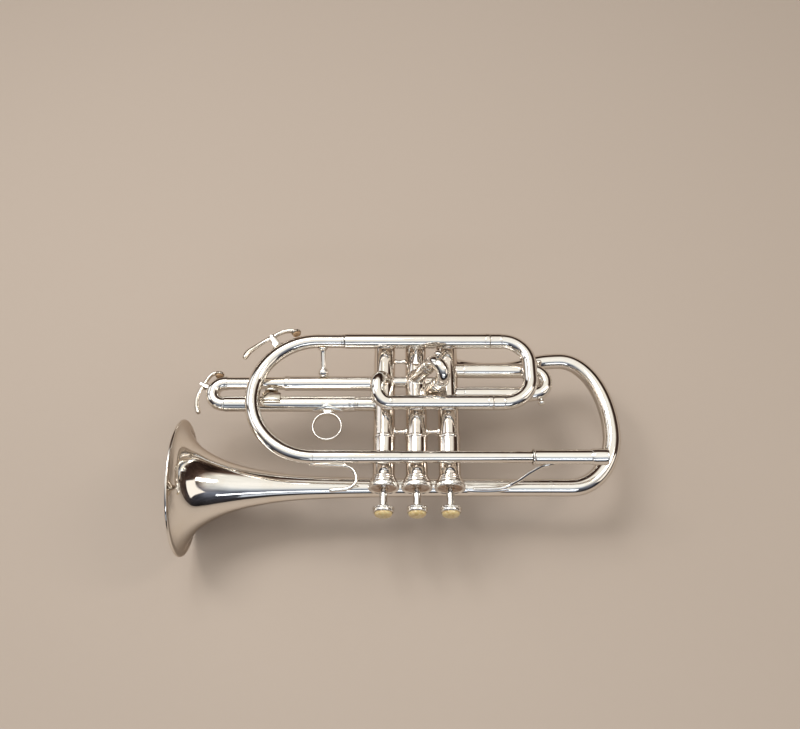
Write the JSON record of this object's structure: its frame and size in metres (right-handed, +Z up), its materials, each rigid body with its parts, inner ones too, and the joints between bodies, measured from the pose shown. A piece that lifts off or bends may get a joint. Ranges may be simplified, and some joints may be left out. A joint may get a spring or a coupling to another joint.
{
  "type": "cornet",
  "caption": "Three-valve brass wind instrument with a shepherd's crook, flared bell, rear tuning slide, valve slides, finger ring and water keys.",
  "frame": {"origin": "centre of the bounding box's footprint, at the height of the bell rim's lowest point", "axes": "+X along the bell's axis from the bell towards the mouthpiece receiver, +Y from the finger buttons towards the valves' bottom caps, +Z up from the bell's side to the leadpipe's side, the instrument lying on its side"},
  "size_m": [0.394, 0.2004, 0.1326],
  "materials": {
    "silver_plate": "silver plate over brass, polished, lightly worn",
    "silver_bright": "silver plate over brass, bright polished fittings",
    "nickel_silver": "bare nickel silver slide tube, lapped",
    "monel": "lapped nickel alloy valve piston",
    "spring_steel": "drawn spring wire",
    "pearl": "mother-of-pearl inlay, polished",
    "cork": "water key cork",
    "nylon": "moulded valve guide"
  },
  "bodies": {
    "horn": {"bell": "silver_plate", "crook": "silver_plate", "leadpipe": "silver_plate", "mouthpiece_receiver": "silver_bright", "front_bow": "silver_plate", "tuning_outer_upper": "silver_plate", "tuning_outer_lower": "silver_plate", "valve3_inlet_knuckle": "silver_plate", "casing_1": "silver_plate", "casing_2": "silver_plate", "casing_3": "silver_plate", "top_cap_1": "silver_bright", "top_cap_2": "silver_bright", "top_cap_3": "silver_bright", "bottom_cap_1": "silver_bright", "bottom_cap_2": "silver_bright", "bottom_cap_3": "silver_bright", "spring_guide_1": "nylon", "spring_guide_2": "nylon", "spring_guide_3": "nylon", "valve_spring_1": "spring_steel", "valve_spring_2": "spring_steel", "valve_spring_3": "spring_steel", "crossover_12": "silver_plate", "crossover_23": "silver_plate", "valve_brace_12": "silver_plate", "valve_brace_23": "silver_plate", "slide1_outer_upper": "silver_plate", "slide1_outer_lower": "silver_plate", "slide2_outer_upper": "silver_plate", "slide2_outer_lower": "silver_plate", "slide3_outer_upper": "silver_plate", "slide3_inner_lower": "silver_plate", "finger_hook": "silver_bright", "bell_brace": "silver_bright", "bow_brace": "silver_plate", "slide_brace": "silver_plate"},
    "valve_1": {"piston_1": "monel", "finger_button_1": "silver_bright", "pearl_1": "pearl"},
    "valve_2": {"piston_2": "monel", "finger_button_2": "silver_bright", "pearl_2": "pearl"},
    "valve_3": {"piston_3": "monel", "finger_button_3": "silver_bright", "pearl_3": "pearl"},
    "main_tuning_slide": {"tuning_slide_bow": "silver_plate", "tuning_slide_leg_upper": "nickel_silver", "tuning_slide_leg_lower": "nickel_silver"},
    "first_valve_slide": {"first_slide": "silver_plate"},
    "second_valve_slide": {"second_slide": "silver_plate"},
    "third_valve_slide": {"third_slide_bow": "silver_plate", "third_slide_sleeve": "silver_plate", "finger_ring": "silver_bright", "lyre_holder": "silver_bright"},
    "lyre_thumb_screw": {"lyre_screw": "silver_bright"},
    "bow_key": {"bow_water_key": "silver_bright", "bow_key_cork": "cork"},
    "third_slide_key": {"third_water_key": "silver_bright", "third_key_cork": "cork"}
  },
  "joints": [
    {"name": "valve_1_press", "type": "slide", "parent": "horn", "child": "valve_1", "axis": [0, 1, 0], "range_m": [0, 0.0155], "stiffness_N_per_m": 90, "springref_m": -0.03, "deforming": ["valve_spring_1"]},
    {"name": "valve_2_press", "type": "slide", "parent": "horn", "child": "valve_2", "axis": [0, 1, 0], "range_m": [0, 0.0155], "stiffness_N_per_m": 90, "springref_m": -0.03, "deforming": ["valve_spring_2"]},
    {"name": "valve_3_press", "type": "slide", "parent": "horn", "child": "valve_3", "axis": [0, 1, 0], "range_m": [0, 0.0155], "stiffness_N_per_m": 90, "springref_m": -0.03, "deforming": ["valve_spring_3"]},
    {"name": "main_tuning_draw", "type": "slide", "parent": "horn", "child": "main_tuning_slide", "axis": [1, 0, 0], "range_m": [0, 0.025]},
    {"name": "first_slide_draw", "type": "slide", "parent": "horn", "child": "first_valve_slide", "axis": [1, 0, 0], "range_m": [0, 0.02]},
    {"name": "second_slide_draw", "type": "slide", "parent": "horn", "child": "second_valve_slide", "axis": [0.42, 0, 0.9075], "range_m": [0, 0.012]},
    {"name": "third_slide_draw", "type": "slide", "parent": "horn", "child": "third_valve_slide", "axis": [-1, 0, 0], "range_m": [0, 0.025]},
    {"name": "bow_key_pivot", "type": "hinge", "parent": "horn", "child": "bow_key", "pos_m": [-0.12116, 0.08846, 0.10025], "axis": [0, 0, 1], "range_deg": [0, 14], "stiffness_Nm_per_rad": 0.03, "springref_deg": -28.65},
    {"name": "third_key_pivot", "type": "hinge", "parent": "third_valve_slide", "child": "third_slide_key", "pos_m": [-0.18323, 0.049, 0.08125], "axis": [0, 0, 1], "range_deg": [0, 14], "stiffness_Nm_per_rad": 0.03, "springref_deg": -28.65},
    {"name": "lyre_screw_turn", "type": "hinge", "parent": "third_valve_slide", "child": "lyre_thumb_screw", "pos_m": [-0.12022, 0.03861, 0.08515], "axis": [0, 1, 0], "continuous": true}
  ]
}
